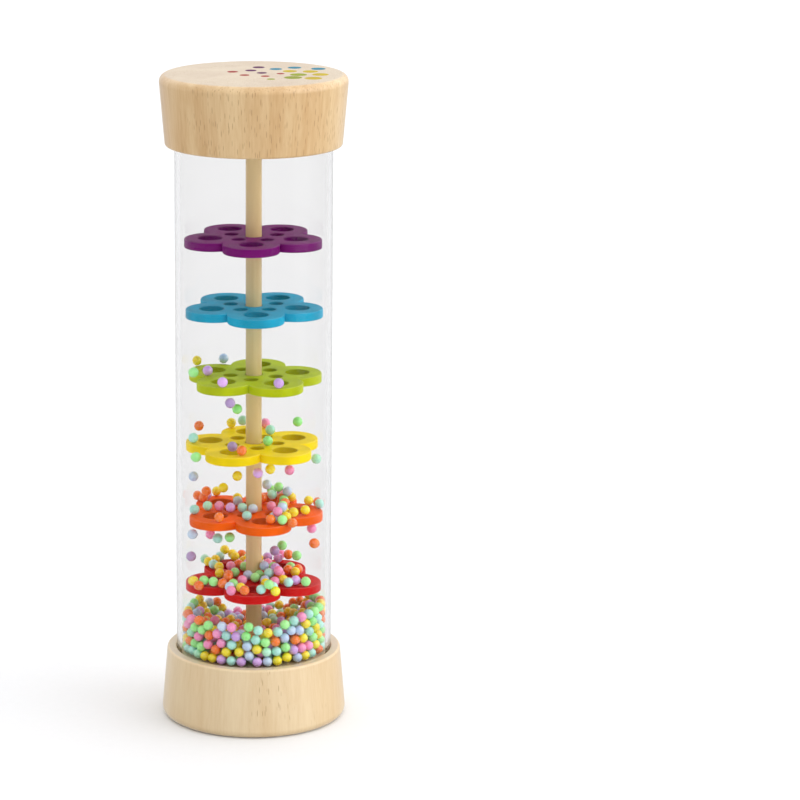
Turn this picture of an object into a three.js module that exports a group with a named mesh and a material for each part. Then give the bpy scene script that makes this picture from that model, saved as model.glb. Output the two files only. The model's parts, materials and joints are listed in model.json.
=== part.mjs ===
// A bead rainmaker: two turned wooden caps hold a clear tube and a dowel. Six flower-shaped
// discs with holes stand on the dowel, and small beads fall through them.
// Millimetres, +Z up, the origin at the middle of the underside. The front is -Y.
import * as THREE from 'three';

// ---- Overall sizes -------------------------------------------------------------------------
const height = 200; // end to end
const tubeRadius = 23.9; // outside of the clear tube
const tubeWall = 1.5;

// ---- Caps ----------------------------------------------------------------------------------
const capHeight = 21.5;
const capRimWidth = 2.85; // wood outside the tube at the cap's mouth
const capFlare = 1.85; // how much wider the cap is near its outer end than at its mouth
const capEdgeRound = 1.8; // rounding of the outer edge
const capRimRound = 0.6; // rounding of the mouth's edge
const grooveDepth = 8; // how deep the tube is seated, from the rim
const bossDrop = 0.8; // the floor inside the tube lies this much below the rim
const socketDepth = 10; // how deep the dowel is seated, from that floor

// ---- Dowel and fits ------------------------------------------------------------------------
const dowelRadius = 2.45;
const fitGap = 0.3; // between glued pieces
const restGap = 0.15; // under and beside a bead

// ---- Discs ---------------------------------------------------------------------------------
const discThickness = 2.8;
const discWallGap = 1.15; // from a petal's tip to the tube
const petalCount = 5;
const petalLap = 1.09; // how far a petal's circle reaches past the line halfway to the next one
const petalHoleRadius = 3.67;
const petalHoleShift = 0.9; // the hole's centre lies this much further out than the petal's
const smallHoleRadius = 2.15;
const smallHoleWeb = 2.36; // wood between a small hole and the dowel's hole
const headSpace = 28.55; // from the upper floor to the top disc's upper face
const footSpace = 22.75; // from the lowest disc's upper face to the lower floor
// From the top down, with how far the front petal is turned from the front, towards +X.
const discs = [
  { colour: 'purple', turn: -3.4 },
  { colour: 'blue', turn: 2.8 },
  { colour: 'green', turn: -42.3 },
  { colour: 'yellow', turn: 43.6 },
  { colour: 'orange', turn: 13 },
  { colour: 'red', turn: -2 },
];

// ---- Beads ---------------------------------------------------------------------------------
const beadRadius = 1.55;
const heapHeadroom = 5.5; // from the heap's top at the wall to the lowest disc
const heapDip = 7; // how much lower the heap is at the dowel
// Beads on their way down. over: the disc below it. turn: degrees round from the front, towards
// +X. out: 0 touches the dowel and 1 touches the tube. lift: 0 rests on the disc below and 1
// touches the disc above; a little below 0, the bead is falling past the disc's edge.
const looseBeads = [
  { colour: 'yellow', over: 'green', turn: -121, out: 1, lift: 0 },
  { colour: 'lime', over: 'green', turn: -74, out: 0.89, lift: 0 },
  { colour: 'sky', over: 'green', turn: -145, out: 0.74, lift: 0 },
  { colour: 'violet', over: 'green', turn: -79, out: 0.61, lift: 0 },
  { colour: 'violet', over: 'green', turn: -27, out: 0.98, lift: 0 },
  { colour: 'violet', over: 'green', turn: 21, out: 1, lift: 0 },
  { colour: 'mauve', over: 'yellow', turn: -21.5, out: 0.91, lift: 0.98 },
  { colour: 'lime', over: 'yellow', turn: -32, out: 0.32, lift: 0.7 },
  { colour: 'orange', over: 'yellow', turn: -103, out: 0.8, lift: 0.16 },
  { colour: 'yellow', over: 'yellow', turn: -158, out: 0.89, lift: 0 },
  { colour: 'sage', over: 'yellow', turn: -167, out: 0.68, lift: 0.09 },
  { colour: 'pink', over: 'yellow', turn: 168, out: 0.8, lift: 0 },
  { colour: 'aqua', over: 'yellow', turn: 149, out: 0.35, lift: 0 },
  { colour: 'lime', over: 'yellow', turn: 110, out: 0.62, lift: 0.23 },
  { colour: 'aqua', over: 'yellow', turn: -85.5, out: 0.87, lift: 0 },
  { colour: 'lime', over: 'yellow', turn: 40, out: 0.15, lift: 0 },
  { colour: 'mauve', over: 'yellow', turn: -28, out: 0.58, lift: 0 },
  { colour: 'orange', over: 'yellow', turn: -12, out: 0.8, lift: 0 },
  { colour: 'lime', over: 'yellow', turn: -58, out: 0.98, lift: -0.24 },
  { colour: 'mint', over: 'orange', turn: 84, out: 0.91, lift: 0.98 },
  { colour: 'sky', over: 'orange', turn: -90, out: 0.87, lift: 0.58 },
  { colour: 'yellow', over: 'orange', turn: -32, out: 0.32, lift: 0.73 },
  { colour: 'yellow', over: 'orange', turn: 32, out: 0.32, lift: 0.87 },
  { colour: 'violet', over: 'orange', turn: 6, out: 0.48, lift: 0.86 },
  { colour: 'pink', over: 'orange', turn: 70, out: 0.45, lift: 0.78 },
  { colour: 'orange', over: 'orange', turn: -105, out: 0.67, lift: 0.2 },
  { colour: 'yellow', over: 'orange', turn: -102, out: 0.33, lift: 0.31 },
  { colour: 'sky', over: 'orange', turn: 135, out: 0.1, lift: 0.34 },
  { colour: 'sky', over: 'red', turn: -72, out: 0.93, lift: 0.89 },
  { colour: 'mauve', over: 'red', turn: -84, out: 0.92, lift: 0.35 },
  { colour: 'aqua', over: 'red', turn: -54, out: 0.57, lift: 0.84 },
  { colour: 'lime', over: 'red', turn: -36, out: 0.5, lift: 0.9 },
  { colour: 'orange', over: 'red', turn: 66, out: 0.96, lift: 0.74 },
  { colour: 'lime', over: 'red', turn: 132, out: 0.47, lift: 0.39 },
  { colour: 'mauve', over: 'red', turn: 103, out: 0.15, lift: 0.4 },
  { colour: 'orange', over: 'red', turn: 142, out: 0.82, lift: 0.08 },
  { colour: 'lime', over: 'red', turn: 121, out: 0.7, lift: 0.17 },
  { colour: 'pink', over: 'red', turn: -98, out: 0.57, lift: 0.74 },
  { colour: 'pink', over: 'red', turn: 90, out: 0.83, lift: 0.9 },
];

// ---- How finely round things are divided ---------------------------------------------------
const roundSteps = 60; // caps, tube and heap
const dowelSteps = 24;
const cornerSteps = 4; // a rounded edge
const petalSteps = 14; // one petal's outline
const petalHoleSteps = 20;
const smallHoleSteps = 12;

// ---- Sizes that follow from those above ----------------------------------------------------
const tubeInnerRadius = tubeRadius - tubeWall;
const mouthRadius = tubeRadius + capRimWidth;
const capRadius = mouthRadius + capFlare;
const floorZ = capHeight - bossDrop;
const dowelHoleRadius = dowelRadius + fitGap;
const discRadius = tubeInnerRadius - discWallGap;
const petalHalfAngle = Math.PI / petalCount;
const petalRing = (discRadius - petalLap) / (1 + Math.sin(petalHalfAngle));
const petalRadius = discRadius - petalRing;
const petalHoleRing = petalRing + petalHoleShift;
const smallHoleRing = dowelHoleRadius + smallHoleWeb + smallHoleRadius;
const discPitch = (height - 2 * floorZ - headSpace - footSpace) / (discs.length - 1);

const woodColour = 0xe6cba2;
const dowelColour = 0xdcc890;
const tubeColour = 0xeef3f5;
const discColours = {
  purple: 0x8a2a86,
  blue: 0x4fb3d0,
  green: 0xb5cf10,
  yellow: 0xf2c40a,
  orange: 0xf0500f,
  red: 0xd5202a,
};
const beadColours = {
  yellow: 0xf5c52c,
  lime: 0x8fe07a,
  sky: 0xa8c6ea,
  violet: 0xb48ae0,
  mauve: 0x9a7aa8,
  orange: 0xf98a3c,
  sage: 0x9fc3ae,
  pink: 0xf79aa8,
  aqua: 0xa6e3dc,
  mint: 0xa9e8bf,
};

// A point at a distance from the axis, turned from the front (-Y) towards +X.
function around(radius, turn, z = 0) {
  return new THREE.Vector3(radius * Math.sin(turn), -radius * Math.cos(turn), z);
}

// A named piece in one plain material.
function piece(name, geometry, colour, roughness) {
  const material = new THREE.MeshStandardMaterial({ color: colour, roughness, metalness: 0 });
  const mesh = new THREE.Mesh(geometry, material);
  mesh.name = name;
  return mesh;
}

// A solid of revolution about Z. Its profile holds [radius, z] pairs, anticlockwise.
function turned(profile, steps) {
  const points = profile.map(([radius, z]) => new THREE.Vector2(radius, z));
  return new THREE.LatheGeometry(points, steps).rotateX(Math.PI / 2);
}

// Points [radius, z] on a rounded corner of a profile, between two directions in radians.
function corner(radius, z, round, from, to) {
  return Array.from({ length: cornerSteps + 1 }, (_, i) => {
    const angle = from + ((to - from) * i) / cornerSteps;
    return [radius + round * Math.cos(angle), z + round * Math.sin(angle)];
  });
}

// Points round a circle or part of one, without the last, as a closed outline wants them.
function arc(centre, radius, steps, from = 0, to = 2 * Math.PI) {
  return Array.from({ length: steps }, (_, i) => {
    const angle = from + ((to - from) * i) / steps;
    return new THREE.Vector2(
      centre.x + radius * Math.cos(angle),
      centre.y + radius * Math.sin(angle),
    );
  });
}

// One cap, its flat end on z = 0 and its mouth up: a rounded outer edge, a tapered side, a ring
// groove for the tube, and a blind socket for the dowel in the floor inside the groove.
function capGeometry() {
  const grooveOuter = tubeRadius + fitGap;
  const grooveInner = tubeInnerRadius - fitGap;
  const grooveFloor = capHeight - grooveDepth - fitGap;
  const socketFloor = floorZ - socketDepth - fitGap;
  return turned(
    [
      [0, 0],
      ...corner(capRadius - capEdgeRound, capEdgeRound, capEdgeRound, -Math.PI / 2, 0),
      ...corner(mouthRadius - capRimRound, capHeight - capRimRound, capRimRound, 0, Math.PI / 2),
      [grooveOuter, capHeight],
      [grooveOuter, grooveFloor],
      [grooveInner, grooveFloor],
      [grooveInner, floorZ],
      [dowelHoleRadius, floorZ],
      [dowelHoleRadius, socketFloor],
      [0, socketFloor],
    ],
    roundSteps,
  );
}

function bottomCap() {
  return piece('bottom_cap', capGeometry(), woodColour, 0.55);
}

function topCap() {
  const cap = piece('top_cap', capGeometry(), woodColour, 0.55);
  cap.rotation.x = Math.PI;
  cap.position.z = height;
  return cap;
}

function clearTube() {
  const low = capHeight - grooveDepth;
  const high = height - low;
  const geometry = turned(
    [
      [tubeInnerRadius, low],
      [tubeRadius, low],
      [tubeRadius, high],
      [tubeInnerRadius, high],
      [tubeInnerRadius, low],
    ],
    roundSteps,
  );
  const tube = piece('clear_tube', geometry, tubeColour, 0.08);
  tube.material.transparent = true;
  tube.material.opacity = 0.25;
  return tube;
}

function centreDowel() {
  const low = floorZ - socketDepth;
  const high = height - low;
  const geometry = turned(
    [
      [0, low],
      [dowelRadius, low],
      [dowelRadius, high],
      [0, high],
    ],
    dowelSteps,
  );
  return piece('centre_dowel', geometry, dowelColour, 0.6);
}

// The outline of a flower disc seen from above: five petal circles that meet in sharp notches.
function petalOutline() {
  const notchRing =
    petalRing * Math.cos(petalHalfAngle) +
    Math.sqrt(petalRadius ** 2 - (petalRing * Math.sin(petalHalfAngle)) ** 2);
  const points = [];
  for (let k = 0; k < petalCount; k += 1) {
    const turn = 2 * petalHalfAngle * k;
    const centre = around(petalRing, turn);
    const notch = around(notchRing, turn + petalHalfAngle);
    const outwards = turn - Math.PI / 2;
    const reach = Math.atan2(notch.y - centre.y, notch.x - centre.x) - outwards;
    const half = Math.atan2(Math.sin(reach), Math.cos(reach));
    points.push(...arc(centre, petalRadius, petalSteps, outwards - half, outwards + half));
  }
  return points;
}

// The dowel's hole, a hole in each petal, and a small hole inside each notch.
function discHoles() {
  const holes = [arc(new THREE.Vector2(), dowelHoleRadius, dowelSteps)];
  for (let k = 0; k < petalCount; k += 1) {
    const turn = 2 * petalHalfAngle * k;
    holes.push(arc(around(petalHoleRing, turn), petalHoleRadius, petalHoleSteps));
    holes.push(
      arc(around(smallHoleRing, turn + petalHalfAngle), smallHoleRadius, smallHoleSteps),
    );
  }
  return holes.map((points) => new THREE.Path(points));
}

// The height of a disc's upper face, counted from the top disc down.
function discTop(index) {
  return height - floorZ - headSpace - index * discPitch;
}

function flowerDisc({ colour, turn }, index) {
  const shape = new THREE.Shape(petalOutline());
  shape.holes = discHoles();
  const geometry = new THREE.ExtrudeGeometry(shape, {
    depth: discThickness,
    bevelEnabled: false,
  });
  const disc = piece(`disc_${colour}`, geometry, discColours[colour], 0.4);
  disc.rotation.z = THREE.MathUtils.degToRad(turn);
  disc.position.z = discTop(index) - discThickness;
  return disc;
}

// The heap of beads on the floor, as one ring between the dowel and the tube.
function beadHeap() {
  const inner = dowelRadius + fitGap;
  const outer = tubeInnerRadius - fitGap;
  const low = floorZ + restGap;
  const high = discTop(discs.length - 1) - discThickness - heapHeadroom;
  const geometry = turned(
    [
      [inner, low],
      [outer, low],
      [outer, high],
      [inner, high - heapDip],
      [inner, low],
    ],
    roundSteps,
  );
  return piece('bead_heap', geometry, beadColours.mint, 0.5);
}

function looseBead({ colour, over, turn, out, lift }, index) {
  const nearest = dowelRadius + restGap + beadRadius;
  const furthest = tubeInnerRadius - restGap - beadRadius;
  const lowest = discTop(discs.findIndex((disc) => disc.colour === over)) + restGap + beadRadius;
  const room = discPitch - discThickness - 2 * (restGap + beadRadius);
  const name = `bead_${String(index + 1).padStart(2, '0')}`;
  const bead = piece(name, new THREE.IcosahedronGeometry(beadRadius, 1), beadColours[colour], 0.3);
  bead.position.copy(
    around(
      nearest + out * (furthest - nearest),
      THREE.MathUtils.degToRad(turn),
      lowest + lift * room,
    ),
  );
  return bead;
}

const rainmaker = new THREE.Group();
rainmaker.add(
  bottomCap(),
  topCap(),
  clearTube(),
  centreDowel(),
  ...discs.map(flowerDisc),
  beadHeap(),
  ...looseBeads.map(looseBead),
);

export default rainmaker;
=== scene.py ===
"""A bead rainmaker in a plain studio.

Two turned wooden caps hold a clear tube and a dowel. Six painted flower discs stand on the
dowel. Small pearly beads lie in a heap on the floor, rest on the lower discs and fall between
them. Sizes are in metres and +Z is up; the front is -Y.
"""

from __future__ import annotations

import json
import logging
import math
from dataclasses import dataclass, field
from enum import Enum

import bmesh
import bpy
import numpy as np
from mathutils import Matrix, Vector


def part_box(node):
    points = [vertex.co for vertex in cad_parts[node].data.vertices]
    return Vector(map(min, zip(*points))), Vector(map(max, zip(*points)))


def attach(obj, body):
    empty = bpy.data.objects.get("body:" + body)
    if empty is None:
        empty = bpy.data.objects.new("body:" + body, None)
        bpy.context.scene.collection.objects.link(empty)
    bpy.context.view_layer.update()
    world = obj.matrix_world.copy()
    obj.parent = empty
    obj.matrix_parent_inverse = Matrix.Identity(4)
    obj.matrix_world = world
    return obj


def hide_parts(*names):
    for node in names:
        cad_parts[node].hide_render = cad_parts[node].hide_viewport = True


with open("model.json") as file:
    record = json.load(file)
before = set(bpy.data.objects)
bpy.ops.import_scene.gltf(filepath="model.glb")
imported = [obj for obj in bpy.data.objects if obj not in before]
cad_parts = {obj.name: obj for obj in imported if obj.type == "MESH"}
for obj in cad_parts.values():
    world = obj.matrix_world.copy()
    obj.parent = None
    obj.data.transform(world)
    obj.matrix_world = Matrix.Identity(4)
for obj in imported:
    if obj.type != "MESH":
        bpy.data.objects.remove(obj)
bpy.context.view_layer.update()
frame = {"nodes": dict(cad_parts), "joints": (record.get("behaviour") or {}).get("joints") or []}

LOG = logging.getLogger("rainmaker")
MM = 0.001
BODY = "rainstick"
UP = Vector((0.0, 0.0, 1.0))
SEED = 7
ALL_SMOOTH = 180.0  # an angle in degrees that leaves no edge sharp
TINY = 1e-9  # the least length that is divided by

Colour = tuple[float, float, float, float]
Stretch = tuple[float, float, float]  # pattern cells per metre along X, Y and Z
Column = tuple[Vector, float, float]  # a falling bead's place, and its lowest and highest centre

WHITE: Colour = (1.0, 1.0, 1.0, 1.0)
BLACK: Colour = (0.0, 0.0, 0.0, 1.0)


def linear(code: str) -> Colour:
    """Turn a hex colour into linear light.

    Args:
        code: six hex digits, such as "e6cba2".

    Returns:
        The colour with an alpha of 1.
    """
    shares = [int(code[i : i + 2], 16) / 255 for i in (0, 2, 4)]
    lit = [s / 12.92 if s <= 0.04045 else ((s + 0.055) / 1.055) ** 2.4 for s in shares]
    return (lit[0], lit[1], lit[2], 1.0)


def shaded(colour: Colour, gain: float) -> Colour:
    """Make a colour lighter or darker.

    Args:
        colour: the colour in linear light.
        gain: what each channel is multiplied by.

    Returns:
        The new colour, with the same alpha.
    """
    return (colour[0] * gain, colour[1] * gain, colour[2] * gain, colour[3])


class Paint(Enum):
    """The discs' paints, from the top disc down, with each one's colour."""

    PURPLE = "74006a"
    BLUE = "1ea4c8"
    GREEN = "bac90a"
    YELLOW = "ffdf00"
    ORANGE = "f86200"
    RED = "d2100e"

    @property
    def word(self) -> str:
        """The colour's name as the frame writes it."""
        return self.name.lower()


class BeadTint(Enum):
    """The beads' colours."""

    YELLOW = "ffe414"
    LIME = "a4fa96"
    SKY = "c4daf8"
    VIOLET = "dcaef4"
    MAUVE = "b094c6"
    ORANGE = "ff7c0e"
    SAGE = "a8d4be"
    PINK = "ff98c8"
    AQUA = "b0ece0"
    MINT = "b4f2d0"

    @property
    def slot(self) -> str:
        """The record's material slot for beads of this colour."""
        return f"bead_{self.name.lower()}"


# ---- Shader graphs ---------------------------------------------------------------------------


class Wire:
    """A value or colour between two shader nodes, with arithmetic on values."""

    def __init__(self, graph: Graph, socket: bpy.types.NodeSocket) -> None:
        """Hold a socket of a graph.

        Args:
            graph: the graph that new nodes go into.
            socket: the output socket.
        """
        self.graph = graph
        self.socket = socket

    def __add__(self, other: Wire | float) -> Wire:
        """Add a value."""
        return self.graph.maths("ADD", self, other)

    __radd__ = __add__

    def __mul__(self, other: Wire | float) -> Wire:
        """Multiply by a value."""
        return self.graph.maths("MULTIPLY", self, other)

    __rmul__ = __mul__

    def __sub__(self, other: Wire | float) -> Wire:
        """Subtract a value."""
        return self.graph.maths("SUBTRACT", self, other)

    def __rsub__(self, other: Wire | float) -> Wire:
        """Subtract this from a value."""
        return self.graph.maths("SUBTRACT", other, self)


class Graph:
    """The node tree of a material or a world while it is being wired."""

    def __init__(self, owner: bpy.types.Material | bpy.types.World) -> None:
        """Empty the owner's tree.

        Args:
            owner: the material or world.
        """
        owner.use_nodes = True
        self.owner = owner
        self.tree = owner.node_tree
        self.tree.nodes.clear()

    @classmethod
    def of_material(cls, name: str) -> Graph:
        """Start a new material.

        Args:
            name: its name.

        Returns:
            Its empty graph.
        """
        return cls(bpy.data.materials.new(name))

    def node(
        self,
        kind: str,
        settings: dict[str, object] | None = None,
        inputs: dict[str | int, object] | None = None,
        output: str | int = 0,
    ) -> Wire:
        """Add a node.

        Args:
            kind: the node's type.
            settings: its properties, set before its sockets.
            inputs: a value or a wire for each socket, by name or place.
            output: which output is wanted.

        Returns:
            That output.
        """
        made = self.tree.nodes.new(kind)
        for key, value in (settings or {}).items():
            setattr(made, key, value)
        for key, value in (inputs or {}).items():
            if isinstance(value, Wire):
                self.tree.links.new(value.socket, made.inputs[key])
            else:
                made.inputs[key].default_value = value
        return Wire(self, made.outputs[output])

    def maths(self, operation: str, *values: Wire | float) -> Wire:
        """Add a Math node.

        Args:
            operation: the node's operation.
            values: what goes into its sockets, in order.

        Returns:
            The node's result.
        """
        return self.node("ShaderNodeMath", {"operation": operation}, dict(enumerate(values)))

    def axis(self, vector: Wire, name: str) -> Wire:
        """Give one part of a vector, by the name of its axis."""
        return self.node("ShaderNodeSeparateXYZ", inputs={0: vector}, output=name)

    def level(self) -> Wire:
        """Give 1 where the surface is level and 0 where it is upright."""
        normal = self.node("ShaderNodeNewGeometry", output="Normal")
        return self.maths("ABSOLUTE", self.axis(normal, "Z"))

    def place(self, stretch: Stretch = (1.0, 1.0, 1.0)) -> Wire:
        """Give the place on the piece.

        Args:
            stretch: how much each axis is scaled.

        Returns:
            Object coordinates, scaled.
        """
        spot = self.node("ShaderNodeTexCoord", output="Object")
        return self.node("ShaderNodeVectorMath", {"operation": "MULTIPLY"}, {0: spot, 1: stretch})

    def noise(self, stretch: Stretch, detail: float = 2.0, warp: float = 0.0) -> Wire:
        """Give fractal noise from 0 to 1.

        Args:
            stretch: cells per metre along each axis.
            detail: how many finer layers it has.
            warp: how much it is distorted.

        Returns:
            The noise value.
        """
        inputs = {
            "Vector": self.place(stretch),
            "Scale": 1.0,
            "Detail": detail,
            "Distortion": warp,
        }
        return self.node("ShaderNodeTexNoise", inputs=inputs)

    def between(self, value: Wire, low: float, high: float) -> Wire:
        """Give a smooth step.

        Args:
            value: the value to map.
            low: where the step is 0; it may be above high, which turns the step round.
            high: where the step is 1.

        Returns:
            0 to 1.
        """
        inputs = {"Value": value, "From Min": low, "From Max": high}
        return self.node("ShaderNodeMapRange", {"interpolation_type": "SMOOTHSTEP"}, inputs)

    def mix(self, share: Wire | float, first: object, second: object, how: str = "MIX") -> Wire:
        """Mix two colours.

        Args:
            share: how much of the second.
            first: a colour or wire.
            second: a colour or wire.
            how: the blend type.

        Returns:
            The mixed colour.
        """
        settings = {"data_type": "RGBA", "blend_type": how}
        return self.node("ShaderNodeMix", settings, {0: share, 6: first, 7: second}, output=2)

    def bump(self, height: Wire, depth: float, strength: float = 1.0) -> Wire:
        """Turn a height into a normal.

        Args:
            height: 0 to 1.
            depth: the height that 1 stands for.
            strength: how much of it shows.

        Returns:
            The bent normal.
        """
        inputs = {"Height": height, "Distance": depth, "Strength": strength}
        return self.node("ShaderNodeBump", inputs=inputs)

    def surface(self, inputs: dict[str, object]) -> bpy.types.Material:
        """Close the graph with one Principled shader.

        Args:
            inputs: its sockets by name.

        Returns:
            The finished material.
        """
        return self.closed(self.node("ShaderNodeBsdfPrincipled", inputs=inputs))

    def closed(
        self, shader: Wire, end: str = "ShaderNodeOutputMaterial"
    ) -> bpy.types.Material | bpy.types.World:
        """Close the graph with a finished shader.

        Args:
            shader: what the surface shows.
            end: the type of the output node.

        Returns:
            The finished material or world.
        """
        self.tree.links.new(shader.socket, self.tree.nodes.new(end).inputs["Surface"])
        return self.owner


# ---- Finishes --------------------------------------------------------------------------------


@dataclass(frozen=True)
class LacqueredWood:
    """Pale hardwood with its grain along Z, turned, sanded and lacquered.

    Attributes:
        name: the material's name.
        pale: the light wood between the fibres.
        tan: the darker bands.
        pore: the open pores.
        pores: how many pores show, from 0 to 1.
        rich_side: where most pores are, as a direction round the axis in degrees from -Y to +X.
        rich_reach: how far from the axis towards that side they are thickest.
        gloss: the roughness of the lacquer.
        blush: what the cloudy patches are multiplied by.
        end_grain_and_painted_shade: what the cut ends lean towards.
        bands: the broad bands of tone.
        streaks: the streaks in them.
        fibres: the finest fibres.
        clouds: the cloudy patches.
        patches: the patches that have pores.
        dashes: the two sizes of pore, each as cells per metre across and along the grain, and the
            share of a cell that a pore fills.
    """

    name: str
    pale: str = "e3cda7"
    tan: str = "d4b78b"
    pore: str = "9a6f42"
    pores: float = 0.6
    rich_side: float = 40.0
    rich_reach: float = 20 * MM
    gloss: float = 0.42
    blush: Colour = (1.0, 0.93, 0.86, 1.0)
    end_grain_and_painted_shade: Colour = (0.47, 0.43, 0.36, 1.0)
    bands: Stretch = (60, 60, 6)
    streaks: Stretch = (420, 420, 22)
    fibres: Stretch = (1900, 1900, 60)
    clouds: Stretch = (38, 38, 24)
    patches: Stretch = (110, 110, 50)
    dashes: tuple[Stretch, ...] = ((1650, 150, 0.26), (1250, 105, 0.17))

    def material(self) -> bpy.types.Material:
        """Wire bands, fibres, pores, a little cloudiness, and end grain with painted shade.

        Returns:
            The finished material.
        """
        graph = Graph.of_material(self.name)
        bands = graph.between(graph.noise(self.bands, detail=2, warp=0.5), 0.34, 0.66)
        streaks = graph.between(graph.noise(self.streaks, detail=3), 0.3, 0.7)
        fibres = graph.noise(self.fibres, detail=3)
        clouds = graph.noise(self.clouds, detail=2)
        tone = bands * 0.5 + streaks * 0.25 + graph.between(fibres, 0.3, 0.7) * 0.25
        wood = graph.mix(tone, linear(self.pale), linear(self.tan))
        cloudy = graph.between(clouds, 0.35, 0.7) * 0.35
        wood = graph.mix(cloudy, wood, self.blush, "MULTIPLY")
        pores = self._pores(graph)
        wood = graph.mix(pores * 0.5, wood, linear(self.pore))
        # painted shade: level faces grey and darken, partly end grain, partly to dim the lit top
        # face
        end = graph.between(graph.level(), 0.9, 1.0)
        wood = graph.mix(end * 0.4, wood, self.end_grain_and_painted_shade)
        relief = fibres * 0.25 + (1 - pores)
        return graph.surface(
            {
                "Base Color": wood,
                "Roughness": pores * 0.3 + fibres * 0.12 + (self.gloss - 0.06),
                "Normal": graph.bump(relief, 0.05 * MM, 0.6),
                "Coat Weight": 0.6,
                "Coat Roughness": 0.22,
            }
        )

    def _pores(self, graph: Graph) -> Wire:
        """Wire short dark dashes along the grain.

        Args:
            graph: the material's graph.

        Returns:
            1 in a pore and 0 elsewhere.
        """
        masks = []
        for across, along, width in self.dashes:
            inputs = {"Vector": graph.place((across, across, along)), "Scale": 1.0}
            near = graph.node("ShaderNodeTexVoronoi", inputs=inputs)
            masks.append(graph.between(near, width, width * 0.6))
        turn = math.radians(self.rich_side)
        side = graph.place((math.sin(turn), -math.cos(turn), 0.0))
        inputs = {0: side, 1: (1.0, 1.0, 1.0)}
        lean = graph.node("ShaderNodeVectorMath", {"operation": "DOT_PRODUCT"}, inputs, "Value")
        rich = graph.between(lean, 0.0, self.rich_reach) * (0.45 * self.pores)
        patches = graph.noise(self.patches, detail=1)
        where = graph.between(patches + rich, 0.78 - 0.35 * self.pores, 0.95 - 0.35 * self.pores)
        return graph.maths("MAXIMUM", masks[0], masks[1] * 0.8) * where


@dataclass(frozen=True)
class SatinPaint:
    """Satin paint on thin wood, a little worn along its edges, which also carry a painted
    highlight.

    Attributes:
        paint: the colour.
        depth: how bright it is on this ground.
        uneven: the patches where it lies thicker.
        grain: the grain that shows through.
        peel: the finest ripple.
    """

    paint: Paint
    depth: float = 1.0
    uneven: Stretch = (160, 160, 160)
    grain: Stretch = (240, 2600, 900)
    peel: Stretch = (2400, 2400, 2400)

    def material(self) -> bpy.types.Material:
        """Wire uneven paint, rims lightened by wear and a painted highlight, painted shade in the
        holes, and a fine orange-peel.

        Returns:
            The finished material.
        """
        graph = Graph.of_material(f"{self.paint.word}_paint_finish")
        body = shaded(linear(self.paint.value), self.depth)
        clouds = graph.noise(self.uneven, detail=3)
        grain = graph.noise(self.grain, detail=2)
        peel = graph.noise(self.peel, detail=1)
        uneven = graph.between(clouds, 0.3, 0.72)
        colour = graph.mix(uneven, shaded(body, 0.86), shaded(body, 1.08))
        colour = graph.mix(graph.between(grain, 0.5, 0.8) * 0.12, colour, shaded(body, 0.6))
        level = graph.level()
        # the rounded rims lighten towards paler paint: partly wear, partly a painted highlight
        rim_wear_and_highlight = graph.between(level, 0.12, 0.5) * graph.between(level, 0.98, 0.8)
        paler_wear_and_highlight = graph.mix(0.12, body, WHITE)
        colour = graph.mix(rim_wear_and_highlight * (clouds * 0.5 + 0.25), colour, paler_wear_and_highlight)
        # painted shade in the holes: their walls go towards 0.4 of the paint
        painted_hole_shade = graph.node("ShaderNodeAttribute", {"attribute_name": "painted_hole_shade"}, output="Fac")
        colour = graph.mix(painted_hole_shade * 0.7, colour, shaded(body, 0.4))
        return graph.surface(
            {
                "Base Color": colour,
                "Roughness": clouds * 0.16 + rim_wear_and_highlight * 0.08 + 0.36,
                "Normal": graph.bump(peel * 0.5 + grain, 0.03 * MM, 0.5),
                "Specular IOR Level": 0.06,
            }
        )


@dataclass(frozen=True)
class PearlBead:
    """Smooth dyed plastic with a pearly skin.

    Attributes:
        tint: the bead's colour.
        glow: how far light spreads inside the bead.
        swirls: the milky swirls.
        skin: the finest roughness.
    """

    tint: BeadTint
    glow: float = 0.8 * MM
    swirls: Stretch = (900, 900, 900)
    skin: Stretch = (6500, 6500, 6500)

    def material(self) -> bpy.types.Material:
        """Wire each bead's own shade, faint swirls and a pearly gloss.

        Returns:
            The finished material.
        """
        graph = Graph.of_material(f"{self.tint.slot}_finish")
        dye = linear(self.tint.value)
        shade = graph.node("ShaderNodeAttribute", {"attribute_name": "shade"}, output="Fac")
        swirl = graph.noise(self.swirls, detail=2, warp=1.5)
        skin = graph.noise(self.skin, detail=1)
        colour = graph.mix(shade, shaded(dye, 0.9), shaded(dye, 1.15))
        milky = graph.mix(0.35, dye, WHITE)
        colour = graph.mix(graph.between(swirl, 0.45, 0.75) * 0.35, colour, milky)
        return graph.surface(
            {
                "Base Color": colour,
                "Roughness": swirl * 0.14 + 0.2,
                "Normal": graph.bump(skin, 0.01 * MM, 0.4),
                "Coat Weight": 0.6,
                "Coat Roughness": 0.16,
                "Subsurface Weight": 0.5,
                "Subsurface Radius": (1.0, 1.0, 1.0),
                "Subsurface Scale": self.glow,
            }
        )


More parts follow.
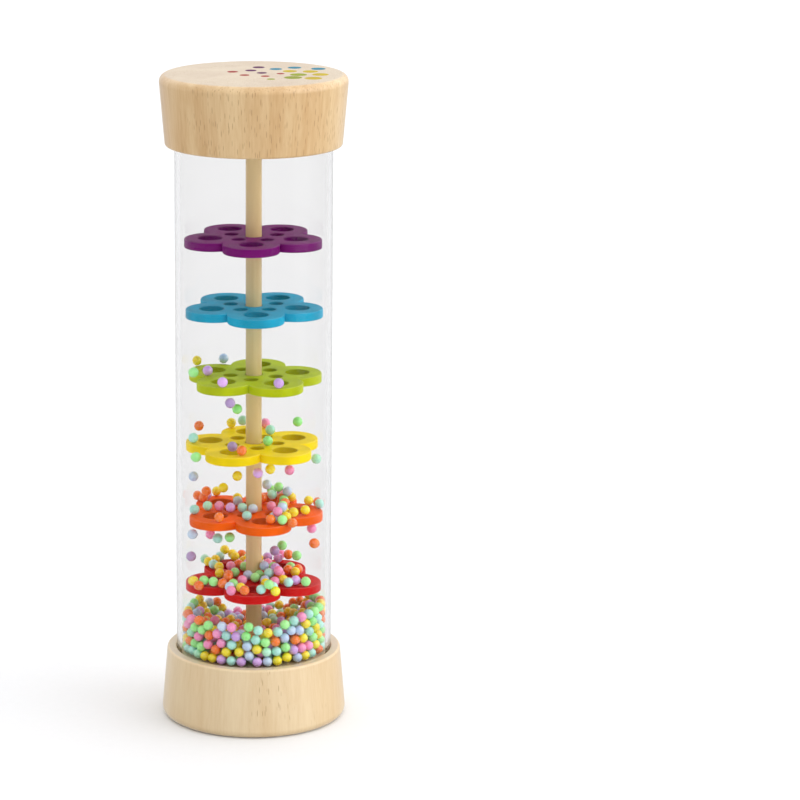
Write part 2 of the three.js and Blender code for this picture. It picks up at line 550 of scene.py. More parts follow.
@dataclass(frozen=True)
class ClearPlastic:
    """Clear drawn acrylic, with faint drawing lines and handling smudges.

    Attributes:
        bend: the index of refraction, low so that little haze lies over what is inside.
        murk: how much light a metre of it takes away, which greys the edges.
        tint: what it lets through.
        shade: how much of the lamps' light gets through it.
        smudges: the smudges left by hands.
        lines: the lines left by drawing it.
    """

    bend: float = 1.2
    murk: float = 16.0
    tint: Colour = (0.915, 0.91, 0.905, 1.0)
    shade: Colour = (0.98, 0.98, 0.98, 1.0)
    smudges: Stretch = (70, 70, 30)
    lines: Stretch = (700, 700, 3)

    def material(self) -> bpy.types.Material:
        """Wire clear plastic that lamps shine through.

        Returns:
            The finished material.
        """
        graph = Graph.of_material("clear_plastic_finish")
        smudge = graph.noise(self.smudges, detail=3)
        lines = graph.noise(self.lines, detail=1)
        inputs = {
            "Base Color": self.tint,
            "Roughness": graph.between(smudge, 0.55, 0.8) * 0.03,
            "IOR": self.bend,
            "Transmission Weight": 1.0,
            "Normal": graph.bump(lines, 0.004 * MM, 0.05),
        }
        plastic = graph.node("ShaderNodeBsdfPrincipled", inputs=inputs)
        lets_through = graph.node("ShaderNodeBsdfTransparent", inputs={"Color": self.shade})
        shadow = graph.node("ShaderNodeLightPath", output="Is Shadow Ray")
        diffuse = graph.node("ShaderNodeLightPath", output="Is Diffuse Ray")
        lamp = graph.maths("MAXIMUM", shadow, diffuse)
        inputs = {0: lamp, 1: plastic, 2: lets_through}
        made = graph.closed(graph.node("ShaderNodeMixShader", inputs=inputs))
        inputs = {"Color": BLACK, "Density": self.murk}
        body = graph.node("ShaderNodeVolumeAbsorption", inputs=inputs)
        output = graph.tree.get_output_node("ALL")
        graph.tree.links.new(body.socket, output.inputs["Volume"])
        return made


@dataclass(frozen=True)
class StudioPaper:
    """Matt white paper for the floor.

    Attributes:
        dull: its least bright white.
        bright: its brightest white.
        tooth: the fine tooth of its surface.
    """

    dull: Colour = (0.805, 0.812, 0.828, 1.0)
    bright: Colour = (0.83, 0.837, 0.853, 1.0)
    tooth: Stretch = (400, 400, 400)

    def material(self) -> bpy.types.Material:
        """Wire an almost even white.

        Returns:
            The finished material.
        """
        graph = Graph.of_material("studio_paper")
        tooth = graph.noise(self.tooth, detail=2)
        white = graph.mix(tooth, self.dull, self.bright)
        return graph.surface({"Base Color": white, "Roughness": 0.9})


# ---- Meshes ----------------------------------------------------------------------------------


def around(radius: float, turn: float, z: float = 0.0) -> Vector:
    """Give a point round the axis.

    Args:
        radius: its distance from the axis.
        turn: its angle from the front, -Y, towards +X, in radians.
        z: its height.

    Returns:
        The point.
    """
    return Vector((radius * math.sin(turn), -radius * math.cos(turn), z))


def lathe(profile: list[tuple[float, float]], steps: int) -> bmesh.types.BMesh:
    """Spin a profile into a closed solid.

    Args:
        profile: radius and height of each corner. It starts and ends on the axis or joins up.
        steps: how many faces there are round it.

    Returns:
        The mesh, its faces outwards.
    """
    bm = bmesh.new()
    corners = [bm.verts.new((radius, 0.0, z)) for radius, z in profile]
    edges = [bm.edges.new(pair) for pair in zip(corners, corners[1:])]
    if min(radius for radius, _ in profile) > 0:
        edges.append(bm.edges.new((corners[-1], corners[0])))
    bmesh.ops.spin(
        bm,
        geom=corners + edges,
        cent=(0.0, 0.0, 0.0),
        axis=UP,
        angle=2 * math.pi,
        steps=steps,
        use_merge=True,
    )
    bmesh.ops.remove_doubles(bm, verts=bm.verts[:], dist=0.001 * MM)
    bmesh.ops.recalc_face_normals(bm, faces=bm.faces[:])
    return bm


def ring_edges(bm: bmesh.types.BMesh, radius: float, z: float) -> list[bmesh.types.BMEdge]:
    """Find the edges of one ring of a turned piece.

    Args:
        bm: the piece.
        radius: the ring's radius.
        z: its height.

    Returns:
        The edges that run round it.
    """
    near = 0.02 * MM

    def on_ring(vert: bmesh.types.BMVert) -> bool:
        """Tell whether a corner lies on the ring."""
        return abs(vert.co.z - z) < near and abs(vert.co.xy.length - radius) < near

    return [edge for edge in bm.edges if all(on_ring(vert) for vert in edge.verts)]


def round_over(
    bm: bmesh.types.BMesh, edges: list[bmesh.types.BMEdge], offset: float, segments: int
) -> None:
    """Round edges.

    Args:
        bm: the piece.
        edges: the edges to round.
        offset: how far from the edge the rounding starts.
        segments: how many faces it has.
    """
    bmesh.ops.bevel(
        bm,
        geom=edges,
        offset=offset,
        offset_type="OFFSET",
        segments=segments,
        profile=0.5,
        affect="EDGES",
        clamp_overlap=True,
        material=-1,
    )


def linked(name: str, data: bpy.types.ID) -> bpy.types.Object:
    """Make an object of a mesh, lamp or camera, and put it into the scene.

    Args:
        name: the object's name.
        data: what it shows.

    Returns:
        The object.
    """
    made = bpy.data.objects.new(name, data)
    bpy.context.scene.collection.objects.link(made)
    return made


def solid(bm: bmesh.types.BMesh, name: str, material: bpy.types.Material) -> bpy.types.Object:
    """Turn a mesh into an object with one material.

    Args:
        bm: the mesh, which is freed.
        name: the object's name.
        material: its finish.

    Returns:
        The object.
    """
    mesh = bpy.data.meshes.new(name)
    bm.to_mesh(mesh)
    bm.free()
    mesh.materials.append(material)
    return linked(name, mesh)


def finished(
    bm: bmesh.types.BMesh,
    name: str,
    material: bpy.types.Material,
    body: str = BODY,
    nodes: tuple[str, ...] = (),
    sharp: float = 35.0,
) -> bpy.types.Object:
    """Turn a mesh into a finished piece that rides a body.

    Args:
        bm: the mesh, which is freed.
        name: the piece's name.
        material: its finish.
        body: the body that it rides.
        nodes: the CAD nodes that it stands for.
        sharp: the least angle in degrees that stays a sharp edge.

    Returns:
        The piece.
    """
    piece = solid(bm, name, material)
    piece.data.shade_smooth()
    piece.data.set_sharp_from_angle(angle=math.radians(sharp))
    if sharp < ALL_SMOOTH:
        flat = piece.modifiers.new("flat_faces_stay_flat", "WEIGHTED_NORMAL")
        flat.mode, flat.weight, flat.keep_sharp = "FACE_AREA", 100, True
    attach(piece, body)
    if nodes:
        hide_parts(*nodes)
    LOG.info("%s: %d faces, rides %s", name, len(piece.data.polygons), body)
    return piece


# ---- Caps, tube and dowel --------------------------------------------------------------------


@dataclass
class Cap:
    """A turned end cap with a ring groove for the tube and a blind socket for the dowel.

    Attributes:
        node: the CAD node, which says where the cap is.
        finish: the wood.
        up: 1 where the mouth looks up and -1 where it looks down.
        flare: how much wider it is near its outer end than at its mouth.
        edge_round: rounding of the outer edge.
        rim_round: rounding of the mouth's edge.
        lip_round: rounding of the edges of groove and socket.
        groove: how deep the tube's groove is.
        drop: how far the floor lies below the rim.
        socket: how deep the dowel's socket is, from the floor.
        gap: the glue gap round tube and dowel.
        steps: how many faces there are round it.
        edge_steps: faces across the outer edge.
        rim_steps: faces across the mouth's edge.
        lip_steps: faces across the edges of groove and socket.
    """

    node: str
    finish: LacqueredWood
    up: int
    flare: float = 1.85 * MM
    edge_round: float = 2.5 * MM
    rim_round: float = 0.7 * MM
    lip_round: float = 0.25 * MM
    groove: float = 8.3 * MM
    drop: float = 0.8 * MM
    socket: float = 10.3 * MM
    gap: float = 0.1 * MM
    steps: int = 144
    edge_steps: int = 8
    rim_steps: int = 5
    lip_steps: int = 3

    def build(self, tube: Tube, dowel: Dowel) -> bpy.types.Object:
        """Turn the cap.

        Args:
            tube: what the groove holds.
            dowel: what the socket holds.

        Returns:
            The piece.
        """
        low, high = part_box(self.node)
        height = high.z - low.z
        radius = high.x
        mouth = radius - self.flare
        floor = height - self.drop
        outer, inner = tube.radius + self.gap, tube.inner - self.gap
        hole = dowel.radius + self.gap
        profile = [
            (0.0, 0.0),
            (radius, 0.0),
            (mouth, height),
            (outer, height),
            (outer, height - self.groove),
            (inner, height - self.groove),
            (inner, floor),
            (hole, floor),
            (hole, floor - self.socket),
            (0.0, floor - self.socket),
        ]
        bm = lathe(profile, self.steps)
        lips = ring_edges(bm, outer, height) + ring_edges(bm, inner, floor)
        lips += ring_edges(bm, hole, floor)
        round_over(bm, ring_edges(bm, radius, 0.0), self.edge_round, self.edge_steps)
        round_over(bm, ring_edges(bm, mouth, height), self.rim_round, self.rim_steps)
        round_over(bm, lips, self.lip_round, self.lip_steps)
        if self.up < 0:
            turn = Matrix.Rotation(math.pi, 4, "X")
            bmesh.ops.transform(bm, matrix=turn, verts=bm.verts[:])
        foot = low.z if self.up > 0 else high.z
        bmesh.ops.translate(bm, vec=(0.0, 0.0, foot), verts=bm.verts[:])
        material = self.finish.material()
        return finished(bm, f"turned_{self.node}", material, nodes=(self.node,))


@dataclass
class Tube:
    """The clear tube.

    Attributes:
        wall: its thickness.
        end_round: rounding of its cut ends.
        steps: how many faces there are round it.
        end_steps: faces across a rounded end.
        node: the CAD node, which says where it is.
    """

    wall: float = 1.5 * MM
    end_round: float = 0.25 * MM
    steps: int = 192
    end_steps: int = 2
    node: str = "clear_tube"

    @property
    def radius(self) -> float:
        """The outer radius."""
        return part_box(self.node)[1].x

    @property
    def inner(self) -> float:
        """The inner radius."""
        return self.radius - self.wall

    def build(self) -> bpy.types.Object:
        """Make the tube with its ends broken.

        Returns:
            The piece.
        """
        low, high = (corner.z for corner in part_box(self.node))
        profile = [(self.inner, low), (self.radius, low), (self.radius, high), (self.inner, high)]
        bm = lathe(profile, self.steps)
        ends = [edge for r, z in profile for edge in ring_edges(bm, r, z)]
        round_over(bm, ends, self.end_round, self.end_steps)
        material = ClearPlastic().material()
        return finished(bm, "drawn_tube", material, nodes=(self.node,))


@dataclass
class Dowel:
    """The wooden rod up the middle.

    Attributes:
        finish: the wood.
        end_round: rounding of its ends.
        steps: how many faces there are round it.
        end_steps: faces across a rounded end.
        node: the CAD node, which says where it is.
    """

    finish: LacqueredWood
    end_round: float = 0.4 * MM
    steps: int = 64
    end_steps: int = 3
    node: str = "centre_dowel"

    @property
    def radius(self) -> float:
        """The rod's radius."""
        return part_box(self.node)[1].x

    def build(self) -> bpy.types.Object:
        """Turn the rod.

        Returns:
            The piece.
        """
        low, high = (corner.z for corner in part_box(self.node))
        profile = [(0.0, low), (self.radius, low), (self.radius, high), (0.0, high)]
        bm = lathe(profile, self.steps)
        ends = ring_edges(bm, self.radius, low) + ring_edges(bm, self.radius, high)
        round_over(bm, ends, self.end_round, self.end_steps)
        material = self.finish.material()
        return finished(bm, "sanded_dowel", material, nodes=(self.node,))


# ---- Flower discs ----------------------------------------------------------------------------


@dataclass
class FlowerDisc:
    """A flat disc cut like a flower, with a hole in each petal and between the petals.

    Attributes:
        paint: its colour, which also names its CAD node.
        petals: how many petals it has.
        lap: how far a petal's circle reaches past the line halfway to the next one.
        hole: radius of a petal's hole.
        hole_shift: how much further out that hole's centre is than the petal's.
        small_hole: radius of a hole between petals.
        small_ring: how far out those holes are.
        dowel_hole: radius of the hole for the dowel.
        edge: rounding of the edges left by the saw.
        petal_steps: faces round the free part of a petal.
        hole_steps: faces round a petal's hole.
        small_steps: faces round the other holes.
        edge_steps: faces across a rounded edge.
    """

    paint: Paint
    petals: int = 5
    lap: float = 1.09 * MM
    hole: float = 3.67 * MM
    hole_shift: float = 0.9 * MM
    small_hole: float = 2.15 * MM
    small_ring: float = 7.26 * MM
    dowel_hole: float = 2.6 * MM
    edge: float = 0.34 * MM
    petal_steps: int = 30
    hole_steps: int = 44
    small_steps: int = 30
    edge_steps: int = 3

    def __post_init__(self) -> None:
        """Read the disc's place, size and turn from its CAD node, and set out its holes."""
        self.node = f"disc_{self.paint.word}"
        low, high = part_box(self.node)
        self.bottom, self.top = low.z, high.z
        corners = [vertex.co.xy for vertex in frame["nodes"][self.node].data.vertices]
        self.radius = max(corner.length for corner in corners)
        tips = [c for c in corners if c.length > self.radius - 0.01 * MM]
        turns = [self.petals * math.atan2(tip.x, -tip.y) for tip in tips]
        swing = math.atan2(sum(map(math.sin, turns)), sum(map(math.cos, turns)))
        self.turn = swing / self.petals
        self.half_angle = math.pi / self.petals
        self.petal_ring = (self.radius - self.lap) / (1 + math.sin(self.half_angle))
        self.petal_radius = self.radius - self.petal_ring
        self.turns = [self.turn + 2 * self.half_angle * k for k in range(self.petals)]
        self.holes = [(Vector(), self.dowel_hole, self.small_steps)]
        for turn in self.turns:
            place = around(self.petal_ring + self.hole_shift, turn)
            self.holes.append((place, self.hole, self.hole_steps))
            place = around(self.small_ring, turn + self.half_angle)
            self.holes.append((place, self.small_hole, self.small_steps))

    def build(self) -> bpy.types.Object:
        """Saw out the disc and round its edges.

        Returns:
            The piece.
        """
        bm = bmesh.new()
        self._draw_outline(bm)
        for place, radius, steps in self.holes:
            spot = Matrix.Translation(place)
            bmesh.ops.create_circle(bm, segments=steps, radius=radius, matrix=spot)
        bmesh.ops.triangle_fill(bm, use_beauty=True, edges=bm.edges[:])
        raised = bmesh.ops.extrude_face_region(bm, geom=bm.faces[:])["geom"]
        lifted = [item for item in raised if isinstance(item, bmesh.types.BMVert)]
        bmesh.ops.translate(bm, vec=(0.0, 0.0, self.top - self.bottom), verts=lifted)
        bmesh.ops.translate(bm, vec=(0.0, 0.0, self.bottom), verts=bm.verts[:])
        bmesh.ops.recalc_face_normals(bm, faces=bm.faces[:])
        bm.normal_update()
        rims = [edge for edge in bm.edges if self._is_rim(edge)]
        round_over(bm, rims, self.edge, self.edge_steps)
        # painted shade: 1 on the holes' walls, fading to 0 across their rounding
        painted_hole_shade = bm.verts.layers.float.new("painted_hole_shade")
        for vert in bm.verts:
            reach = self._into_hole(vert.co) / self.edge
            vert[painted_hole_shade] = min(max(1 + reach, 0.0), 1.0)
        name = f"painted_{self.node}"
        material = SatinPaint(self.paint).material()
        return finished(bm, name, material, nodes=(self.node,))

    def _draw_outline(self, bm: bmesh.types.BMesh) -> None:
        """Spin one petal's arc and copy it round the axis.

        Args:
            bm: the empty mesh.
        """
        ring, radius, half = self.petal_ring, self.petal_radius, self.half_angle
        notch = ring * math.cos(half) + math.sqrt(radius**2 - (ring * math.sin(half)) ** 2)
        centre = around(ring, self.turn)
        start = around(notch, self.turn - half)
        stop = around(notch, self.turn + half)
        sweep = 2 * math.pi - (start - centre).angle(stop - centre)
        bmesh.ops.spin(
            bm,
            geom=[bm.verts.new(start)],
            cent=centre,
            axis=UP,
            angle=sweep,
            steps=self.petal_steps,
        )
        bmesh.ops.spin(
            bm,
            geom=bm.verts[:] + bm.edges[:],
            cent=(0.0, 0.0, 0.0),
            axis=UP,
            angle=2 * half * (self.petals - 1),
            steps=self.petals - 1,
            use_duplicate=True,
        )
        bmesh.ops.remove_doubles(bm, verts=bm.verts[:], dist=0.01 * MM)

    @staticmethod
    def _is_rim(edge: bmesh.types.BMEdge) -> bool:
        """Tell whether a flat face meets a wall at an edge."""
        slopes = sorted(abs(face.normal.z) for face in edge.link_faces)
        return len(slopes) == 2 and slopes[0] < 0.1 and slopes[1] > 0.9

    def overhang(self, spot: Vector) -> float:
        """Tell how far a spot is from the disc's wood, seen from above.

        Args:
            spot: the place; its height doesn't matter.

        Returns:
            The distance outside the wood, or below 0 over wood.
        """
        flat = Vector((spot.x, spot.y, 0.0))
        outside = flat.length - self.small_ring
        for turn in self.turns:
            gap = (flat - around(self.petal_ring, turn)).length - self.petal_radius
            outside = min(outside, gap)
        return max(outside, self._into_hole(spot))

    def _into_hole(self, spot: Vector) -> float:
        """Tell how far a spot is inside the nearest hole, seen from above.

        Args:
            spot: the place; its height doesn't matter.

        Returns:
            The distance from the hole's wall, or below 0 outside it.
        """
        flat = Vector((spot.x, spot.y, 0.0))
        return max(radius - (flat - place).length for place, radius, _ in self.holes)


# ---- Beads -----------------------------------------------------------------------------------


@dataclass
class BeadStock:
    """All the beads: those that fall, those that lie in the heap and those on the discs.

    Attributes:
        tube: what holds them in.
        dowel: the rod they lie round.
        discs: the discs from the top down.
        clearance: what stays free between a bead and what it lies on.
        heap_count: how many beads lie in the heap.
        heap_sides: how much higher the heap is at its left and right than in its middle.
        heap_front: how much higher it is at its front than in its middle.
        heap_lean: how much higher it is at +X than in its middle.
        pour: how high above the floor the heap's beads start.
        settle_steps: how many steps the heap takes to settle.
        pulled: the share of those steps in which beads are drawn down.
        first_step: how far a bead is drawn in the first step.
        last_step: how far it is drawn once the steps have grown short.
        slowing: what each step is of the one before it.
        look_every: how many steps pass between two searches for neighbours.
        look_past: how far past touching a neighbour may be.
        part_rounds: how often overlapping beads are pushed apart in one step.
        push: the share of an overlap that each of the two gives way.
        strewn: for each of the lower discs, from the bottom up, how many beads lie on it and how
            many beads high.
        tries: how many beads are dropped at most for each one that comes to rest.
        roll_steps: how many steps a dropped bead rolls at most.
        roll_step: how far it may roll in one, along X and Y.
        pile: how far above a disc other beads can carry it.
        slack: how much less than a whole bead may lie between two centres.
        to_sides: how strongly strewn beads keep to the left and right, from 0 to 1.
        falling_rounds: how finely a falling bead is divided.
        still_rounds: how finely a still one is divided.
        tints: how often each colour comes.
    """

    tube: Tube
    dowel: Dowel
    discs: list[FlowerDisc]
    clearance: float = 0.04 * MM
    heap_count: int = 500
    heap_sides: float = 10 * MM
    heap_front: float = 8 * MM
    heap_lean: float = 2.5 * MM
    pour: float = 24 * MM
    settle_steps: int = 500
    pulled: float = 0.8
    first_step: float = 0.5 * MM
    last_step: float = 0.06 * MM
    slowing: float = 0.992
    look_every: int = 8
    look_past: float = 1.2 * MM
    part_rounds: int = 3
    push: float = 0.35
    strewn: tuple[tuple[int, int], ...] = ((64, 3), (42, 2))
    tries: int = 60
    roll_steps: int = 50
    roll_step: float = 0.5 * MM
    pile: float = 12 * MM
    slack: float = 0.02 * MM
    to_sides: float = 0.45
    falling_rounds: int = 3
    still_rounds: int = 2
    tints: dict[BeadTint, float] = field(
        default_factory=lambda: {
            BeadTint.MINT: 0.06,
            BeadTint.AQUA: 0.1,
            BeadTint.LIME: 0.16,
            BeadTint.PINK: 0.13,
            BeadTint.YELLOW: 0.22,
            BeadTint.ORANGE: 0.16,
            BeadTint.VIOLET: 0.08,
            BeadTint.SKY: 0.09,
        }
    )

    def __post_init__(self) -> None:
        """Measure a bead and start the random draws."""
        low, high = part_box("bead_01")
        self.radius = (high.z - low.z) / 2
        self.draw = np.random.default_rng(SEED)
        self.nearest = self.dowel.radius + self.radius + self.clearance
        self.furthest = self.tube.inner - self.radius - self.clearance
        self.placed: list[Vector] = []
        self.finishes = {tint: PearlBead(tint).material() for tint in BeadTint}

    def build(self) -> None:
        """Make every bead."""
        columns = self._falling_beads()
        self.placed = [Vector(spot) for spot in self._settled_heap()]
        for disc, (count, layers) in zip(reversed(self.discs), self.strewn):
            self._strew(disc, count, layers, columns)
        self._make_still_beads()

    def _falling_beads(self) -> list[Column]:
        """Replace each falling bead by a finer one that rides its own body.

        Returns:
            The column that each sweeps.
        """
        columns = []
        for joint in frame["joints"]:
            node = joint["child"]
            low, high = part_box(node)
            centre = (low + high) / 2
            slot = frame["nodes"][node].material_slots[0].material.name
            tint = next(t for t in BeadTint if t.slot == slot.split(".")[0])
            bm = bmesh.new()
            self._ball(bm, centre, self.falling_rounds)
            material = self.finishes[tint]
            finished(bm, f"falling_{node}", material, node, (node,), sharp=ALL_SMOOTH)
            down, up = joint["range_m"]
            columns.append((centre, centre.z + down, centre.z + up))
        return columns

    def _ball(self, bm: bmesh.types.BMesh, centre: Vector, rounds: int) -> None:
        """Add one bead to a mesh, turned at random and with a shade of its own.

        Args:
            bm: the mesh.
            centre: the bead's centre.
            rounds: how finely it is divided.
        """
        layer = bm.verts.layers.float.get("shade") or bm.verts.layers.float.new("shade")
        angles = self.draw.uniform(0, 2 * math.pi, 3)
        spin = Matrix.Rotation(angles[0], 4, "X") @ Matrix.Rotation(angles[1], 4, "Z")
        place = Matrix.Translation(centre) @ spin
        made = bmesh.ops.create_icosphere(
            bm, subdivisions=rounds, radius=self.radius, matrix=place
        )
        shade = float(self.draw.uniform(0, 1))
        for vert in made["verts"]:
            vert[layer] = shade

    def _settled_heap(self) -> np.ndarray:
        """Let beads settle on the floor, drawn towards the sides and the front.

        Returns:
            Their centres.
        """
        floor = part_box("bead_heap")[0].z + self.radius
        count = self.heap_count
        turns = self.draw.uniform(0, 2 * math.pi, count)
        rings = np.sqrt(self.draw.uniform(self.nearest**2, self.furthest**2, count))
        heights = floor + self.draw.uniform(0, self.pour, count)
        spots = np.stack([rings * np.sin(turns), rings * np.cos(turns), heights], axis=1)
        ceiling = self.discs[-1].bottom - self.radius - self.clearance
        step = self.first_step
        for turn in range(self.settle_steps):
            if turn % self.look_every == 0:
                pairs = self._neighbours(spots, 2 * self.radius + self.look_past)
            if turn < self.settle_steps * self.pulled:
                spots += self._pull(spots) * step
                step = max(step * self.slowing, self.last_step)
            self._part(spots, pairs)
            self._keep_inside(spots, floor, ceiling)
        return spots

    def _pull(self, spots: np.ndarray) -> np.ndarray:
        """The way that each bead is drawn, square to the heap's wanted surface.

        Args:
            spots: the beads' centres.

        Returns:
            One vector for each.
        """
        scale = 2 / self.tube.inner**2
        pull = np.zeros_like(spots)
        pull[:, 0] = self.heap_sides * scale * spots[:, 0] + self.heap_lean / self.tube.inner
        pull[:, 1] = self.heap_front * scale * np.minimum(spots[:, 1], 0)
        pull[:, 2] = -1
        return pull

    @staticmethod
    def _neighbours(spots: np.ndarray, reach: float) -> tuple[np.ndarray, np.ndarray]:
        """Find the pairs of beads that are near each other.

        Args:
            spots: the beads' centres.
            reach: the greatest distance.

        Returns:
            The first and second bead of each pair.
        """
        gaps = spots[:, None, :] - spots[None, :, :]
        near = np.einsum("ijk,ijk->ij", gaps, gaps) < reach**2
        return np.nonzero(np.triu(near, 1))

    def _part(self, spots: np.ndarray, pairs: tuple[np.ndarray, np.ndarray]) -> None:
        """Push overlapping beads apart.

        Args:
            spots: the beads' centres, which are changed.
            pairs: the pairs to look at.
        """
        first, second = pairs
        for _ in range(self.part_rounds):
            gaps = spots[first] - spots[second]
            lengths = np.maximum(np.linalg.norm(gaps, axis=1), TINY)
            overlap = np.maximum(2 * self.radius - lengths, 0)
            push = gaps / lengths[:, None] * (overlap * self.push)[:, None]
            np.add.at(spots, first, push)
            np.add.at(spots, second, -push)

    def _keep_inside(self, spots: np.ndarray, floor: float, ceiling: float) -> None:
        """Keep beads between dowel and tube, and above the floor.

        Args:
            spots: the beads' centres, which are changed.
            floor: the lowest centre.
            ceiling: the highest centre under the lowest disc.
        """
        rings = np.maximum(np.hypot(spots[:, 0], spots[:, 1]), TINY)
        held = np.clip(rings, self.nearest, self.furthest) / rings
        spots[:, :2] *= held[:, None]
        spots[:, 2] = np.clip(spots[:, 2], floor, ceiling)

    def _strew(
        self, disc: FlowerDisc, count: int, layers: int, columns: list[Column]
    ) -> None:
        """Let beads drop on a disc and roll until they rest.

        Args:
            disc: the disc.
            count: how many come to rest.
            layers: how many bead heights the pile may reach.
            columns: what falling beads sweep, which stays free.
        """
        rested = 0
        for _ in range(count * self.tries):
            if rested == count:
                break
            turn = self.draw.uniform(0, 2 * math.pi)
            ring = math.sqrt(self.draw.uniform(self.nearest**2, self.furthest**2))
            if abs(math.sin(turn)) < self.draw.uniform(0, self.to_sides):
                continue
            spot = self._rolled(disc, around(ring, turn))
            if spot is None or spot.z > disc.top + self.radius * (2 * layers):
                continue
            if self._is_free(spot, columns):
                self.placed.append(spot)
                rested += 1
        LOG.info("%s holds %d beads", disc.node, rested)

    def _rolled(self, disc: FlowerDisc, start: Vector) -> Vector | None:
        """Roll one bead downhill.

        Args:
            disc: the disc that it drops on.
            start: where it lands.

        Returns:
            Where it rests, or nothing if it falls past the disc.
        """
        near = [p for p in self.placed if disc.bottom < p.z < disc.top + self.pile]
        spot, height = start, self._support(disc, start, near)
        for _ in range(self.roll_steps):
            step = Vector((*self.draw.uniform(-self.roll_step, self.roll_step, 2), 0.0))
            there = spot + step
            ring = there.xy.length
            if height is None or not self.nearest < ring < self.furthest:
                continue
            lower = self._support(disc, there, near)
            if lower is None:
                return None
            if lower < height:
                spot, height = there, lower
        return None if height is None else Vector((spot.x, spot.y, height))

    def _support(self, disc: FlowerDisc, spot: Vector, near: list[Vector]) -> float | None:
        """Tell how low a bead can lie at a spot.

        Args:
            disc: the disc below.
            spot: the place, seen from above.
            near: beads that may carry it.

        Returns:
            The height of its centre, or nothing if it falls through.
        """
        over = max(disc.overhang(spot), 0.0)
        heights = []
        if over < self.radius:
            heights.append(disc.top + math.sqrt(self.radius**2 - over**2))
        for other in near:
            apart = math.hypot(spot.x - other.x, spot.y - other.y)
            if apart < 2 * self.radius:
                heights.append(other.z + math.sqrt(4 * self.radius**2 - apart**2))
        return max(heights) + self.clearance if heights else None

    def _is_free(self, spot: Vector, columns: list[Column]) -> bool:
        """Tell whether a bead touches nothing that lies still or sweeps past.

        Args:
            spot: its centre.
            columns: what falling beads sweep.

        Returns:
            True if it is free.
        """
        apart = 2 * self.radius
        if any((spot - other).length < apart - self.slack for other in self.placed):
            return False
        for centre, lowest, highest in columns:
            nearest = Vector((centre.x, centre.y, min(max(spot.z, lowest), highest)))
            if (spot - nearest).length < apart + self.clearance:
                return False
        return True

    def _make_still_beads(self) -> None:
        """Share the still beads out over the colours, one piece for each colour.

        The mint piece also stands for the CAD heap.
        """
        tints = list(self.tints)
        shares = np.array([self.tints[tint] for tint in tints])
        picks = self.draw.choice(len(tints), size=len(self.placed), p=shares / shares.sum())
        for index, tint in enumerate(tints):
            bm = bmesh.new()
            for spot, pick in zip(self.placed, picks):
                if pick == index:
                    self._ball(bm, spot, self.still_rounds)
            nodes = ("bead_heap",) if tint is BeadTint.MINT else ()
            name = f"resting_beads_{tint.name.lower()}"
            finished(bm, name, self.finishes[tint], BODY, nodes, sharp=ALL_SMOOTH)


# ---- Printed dots ----------------------------------------------------------------------------


@dataclass
class DotPrint:
    """Small printed dots on the upper cap, strewn as the seeds of a sunflower are.

    Attributes:
        middle: where the pattern's middle is.
        spread: how far apart neighbouring dots are.
        count: how many dots there are.
        smallest: the smallest dot's radius.
        largest: the largest dot's radius.
        seed_gap: how far out the first dot is, in steps of the spiral.
        growth: how far through its range of sizes each dot goes on from the one before.
        ink: how thick the print is.
        taper: how wide a dot's face is beside its foot.
        steps: how many faces there are round a dot.
        soak: how bright the ink stays on the wood.
    """

    middle: tuple[float, float] = (8 * MM, 1.5 * MM)
    spread: float = 3.7 * MM
    count: int = 17
    smallest: float = 1.2 * MM
    largest: float = 2.8 * MM
    seed_gap: float = 0.3
    growth: float = 0.618
    ink: float = 0.03 * MM
    taper: float = 0.97
    steps: int = 28
    soak: float = 0.5

    def build(self) -> None:
        """Print the dots of each paint as one piece."""
        golden = math.pi * (3 - math.sqrt(5))
        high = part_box("top_cap")[1].z
        order = (Paint.RED, Paint.YELLOW, Paint.PURPLE, Paint.GREEN, Paint.BLUE)
        for paint in order:
            bm = bmesh.new()
            for seed in range(order.index(paint), self.count, len(order)):
                ring = self.spread * math.sqrt(seed + self.seed_gap)
                place = Vector((*self.middle, high)) + around(ring, golden * seed)
                share = seed * self.growth % 1
                radius = self.smallest + (self.largest - self.smallest) * share
                self._dot(bm, place, radius)
            name = f"printed_dots_{paint.word}"
            ink = SatinPaint(paint, self.soak).material()
            finished(bm, name, ink)

    def _dot(self, bm: bmesh.types.BMesh, place: Vector, radius: float) -> None:
        """Add one thin round dot.

        Args:
            bm: the mesh.
            place: the middle of its underside.
            radius: its radius.
        """
        bmesh.ops.create_cone(
            bm,
            cap_ends=True,
            segments=self.steps,
            radius1=radius,
            radius2=radius * self.taper,
            depth=self.ink,
            matrix=Matrix.Translation(place + UP * (self.ink / 2)),
        )


# ---- Studio ----------------------------------------------------------------------------------


@dataclass(frozen=True)
class Lamp:
    """A soft, far lamp, which lights the floor evenly.

    Attributes:
        name: its name.
        place: the direction that it shines from.
        spread: how wide it looks, in degrees.
        power: how strongly it lights what faces it.
    """

    name: str
    place: tuple[float, float, float]
    spread: float
    power: float

    def hang(self) -> None:
        """Aim the lamp at the lower half of the object."""
        data = bpy.data.lights.new(self.name, "SUN")
        data.angle, data.energy = math.radians(self.spread), self.power
        lamp = linked(self.name, data)
        lamp.location = self.place
        aim = LAMP_TARGET - Vector(self.place)
        lamp.rotation_euler = aim.to_track_quat("-Z", "Y").to_euler()


LAMP_TARGET = Vector((0.0, 0.0, 0.1))
LAMPS = (
    Lamp("key_lamp", (1.0, -0.3, 0.4), 60.0, 1.0),
    Lamp("top_lamp", (0.1, -0.4, 1.1), 100.0, 0.74),
    Lamp("front_lamp", (-0.2, -1.0, 0.95), 40.0, 0.1),
)


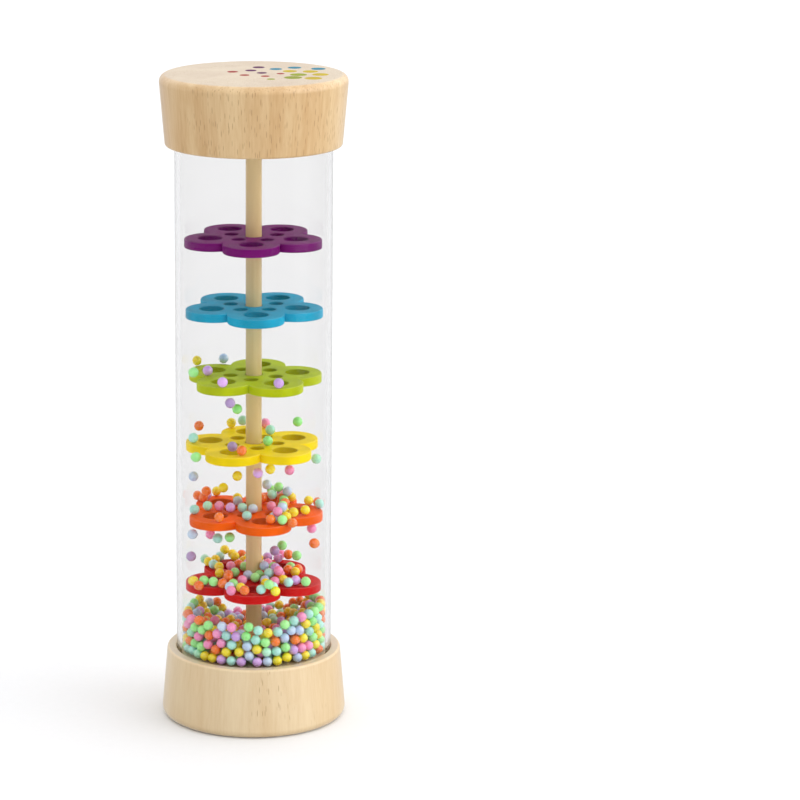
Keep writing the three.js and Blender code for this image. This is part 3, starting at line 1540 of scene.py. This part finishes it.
@dataclass
class Studio:
    """White paper, soft lamps and a long lens a little above the object.

    Attributes:
        distance: from the camera to the axis, seen from above.
        height: the camera's height above the floor.
        pitch: how far it looks down, in radians.
        lens: its focal length in millimetres.
        sensor: the width of its sensor in millimetres.
        shift: how far the frame is shifted sideways.
        sight: the nearest and furthest that it sees.
        floor: the side of the floor.
        backdrop: how bright the white sweep behind the object is.
        ceiling: how bright the room is overhead.
        right_wall: how bright it is on the right.
        left_wall: how bright it is on the left.
        horizon: how bright it is all round just above the floor.
    """

    distance: float = 1.0124
    height: float = 0.3473
    pitch: float = 0.24
    lens: float = 153.4
    sensor: float = 36.0
    shift: float = 0.1828
    sight: tuple[float, float] = (0.01, 50.0)
    floor: float = 12.0
    backdrop: float = 0.75
    ceiling: float = 0.78
    right_wall: float = 1.0
    left_wall: float = 0.35
    horizon: float = 0.85

    def build(self) -> None:
        """Set up camera, floor, lamps and surroundings."""
        self._camera()
        self._floor()
        for lamp in LAMPS:
            lamp.hang()
        bpy.context.scene.world = self._room()
        bpy.context.scene.view_settings.view_transform = "Standard"

    def _room(self) -> bpy.types.World:
        """Light the room from above, from both sides and from behind, and keep its front dark.

        Returns:
            The world.
        """
        graph = Graph(bpy.data.worlds.new("soft_room"))
        way = graph.node("ShaderNodeTexCoord", output="Generated")
        across, away, upwards = (graph.axis(way, name) for name in "XYZ")
        walls = graph.between(across, 0.1, 1.0) * self.right_wall
        walls = walls + graph.between(across, -0.1, -1.0) * self.left_wall
        light = walls * graph.between(upwards, -0.1, 0.2)
        light = light + graph.between(upwards, 0.0, 0.85) * self.ceiling
        light = light + graph.between(away, 0.1, 0.9) * self.backdrop
        skirting = graph.between(upwards, -0.12, -0.07) * graph.between(upwards, 0.3, 0.12)
        light = graph.maths("MAXIMUM", light, skirting * self.horizon)
        shine = graph.node("ShaderNodeBackground", inputs={"Color": WHITE, "Strength": light})
        return graph.closed(shine, "ShaderNodeOutputWorld")

    def _camera(self) -> None:
        """Place the camera."""
        data = bpy.data.cameras.new("front_camera")
        data.lens, data.sensor_width, data.shift_x = self.lens, self.sensor, self.shift
        data.clip_start, data.clip_end = self.sight
        camera = linked("front_camera", data)
        camera.location = (0.0, -self.distance, self.height)
        camera.rotation_euler = (math.pi / 2 - self.pitch, 0.0, 0.0)
        bpy.context.scene.camera = camera

    def _floor(self) -> None:
        """Lay the paper just below the object."""
        bm = bmesh.new()
        bmesh.ops.create_grid(bm, x_segments=4, y_segments=4, size=self.floor / 2)
        floor = solid(bm, "paper_floor", StudioPaper().material())
        floor.visible_glossy = False


def main() -> None:
    """Build the rainmaker piece by piece, then the studio round it."""
    logging.basicConfig(level=logging.INFO, format="%(name)s: %(message)s")
    Studio().build()
    dowel_wood = LacqueredWood("sanded_beech", pale="ead29a", tan="d8b97c", pores=0.2, gloss=0.5)
    lower_wood = LacqueredWood("lower_cap_wood", pores=0.3, rich_side=-10.0)
    upper_wood = LacqueredWood("upper_cap_wood", pale="e2c698", tan="c69d69", pores=0.9)
    tube, dowel = Tube(), Dowel(dowel_wood)
    Cap("bottom_cap", lower_wood, up=1).build(tube, dowel)
    Cap("top_cap", upper_wood, up=-1).build(tube, dowel)
    dowel.build()
    discs = [FlowerDisc(paint) for paint in Paint]
    for disc in discs:
        disc.build()
    BeadStock(tube, dowel, discs).build()
    DotPrint().build()
    tube.build()


if __name__ == "__main__":
    main()
